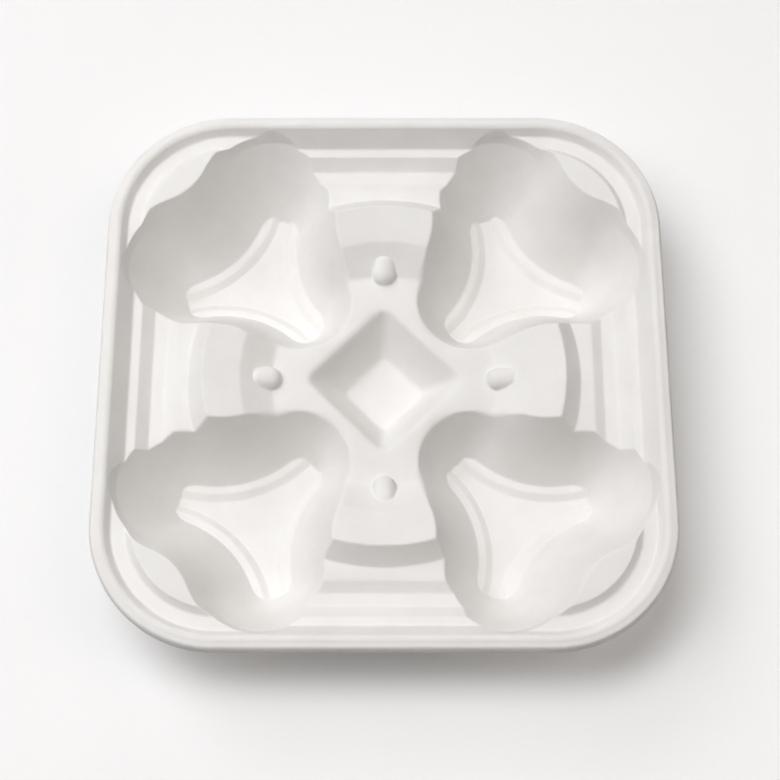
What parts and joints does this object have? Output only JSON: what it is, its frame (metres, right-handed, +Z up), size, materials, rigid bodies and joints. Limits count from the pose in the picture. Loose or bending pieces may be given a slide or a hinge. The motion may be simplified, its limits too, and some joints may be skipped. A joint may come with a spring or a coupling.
{
  "type": "moulded pulp cup carrier",
  "caption": "Square tray of white moulded pulp with a rolled rim, lobed cup wells at its corners, fan-shaped blocks between them and a square pit in the middle, for carrying drinks.",
  "frame": {"origin": "centre of the tray on the surface that it stands on, under the middle of the pit", "axes": "+Z up along the tray's axis of symmetry, X and Y square to its sides"},
  "size_m": [0.215, 0.215, 0.0403],
  "materials": {
    "moulded_pulp": "matte, slightly fibrous"
  },
  "bodies": {
    "root": {"cup_carrier": "moulded_pulp"}
  },
  "joints": []
}
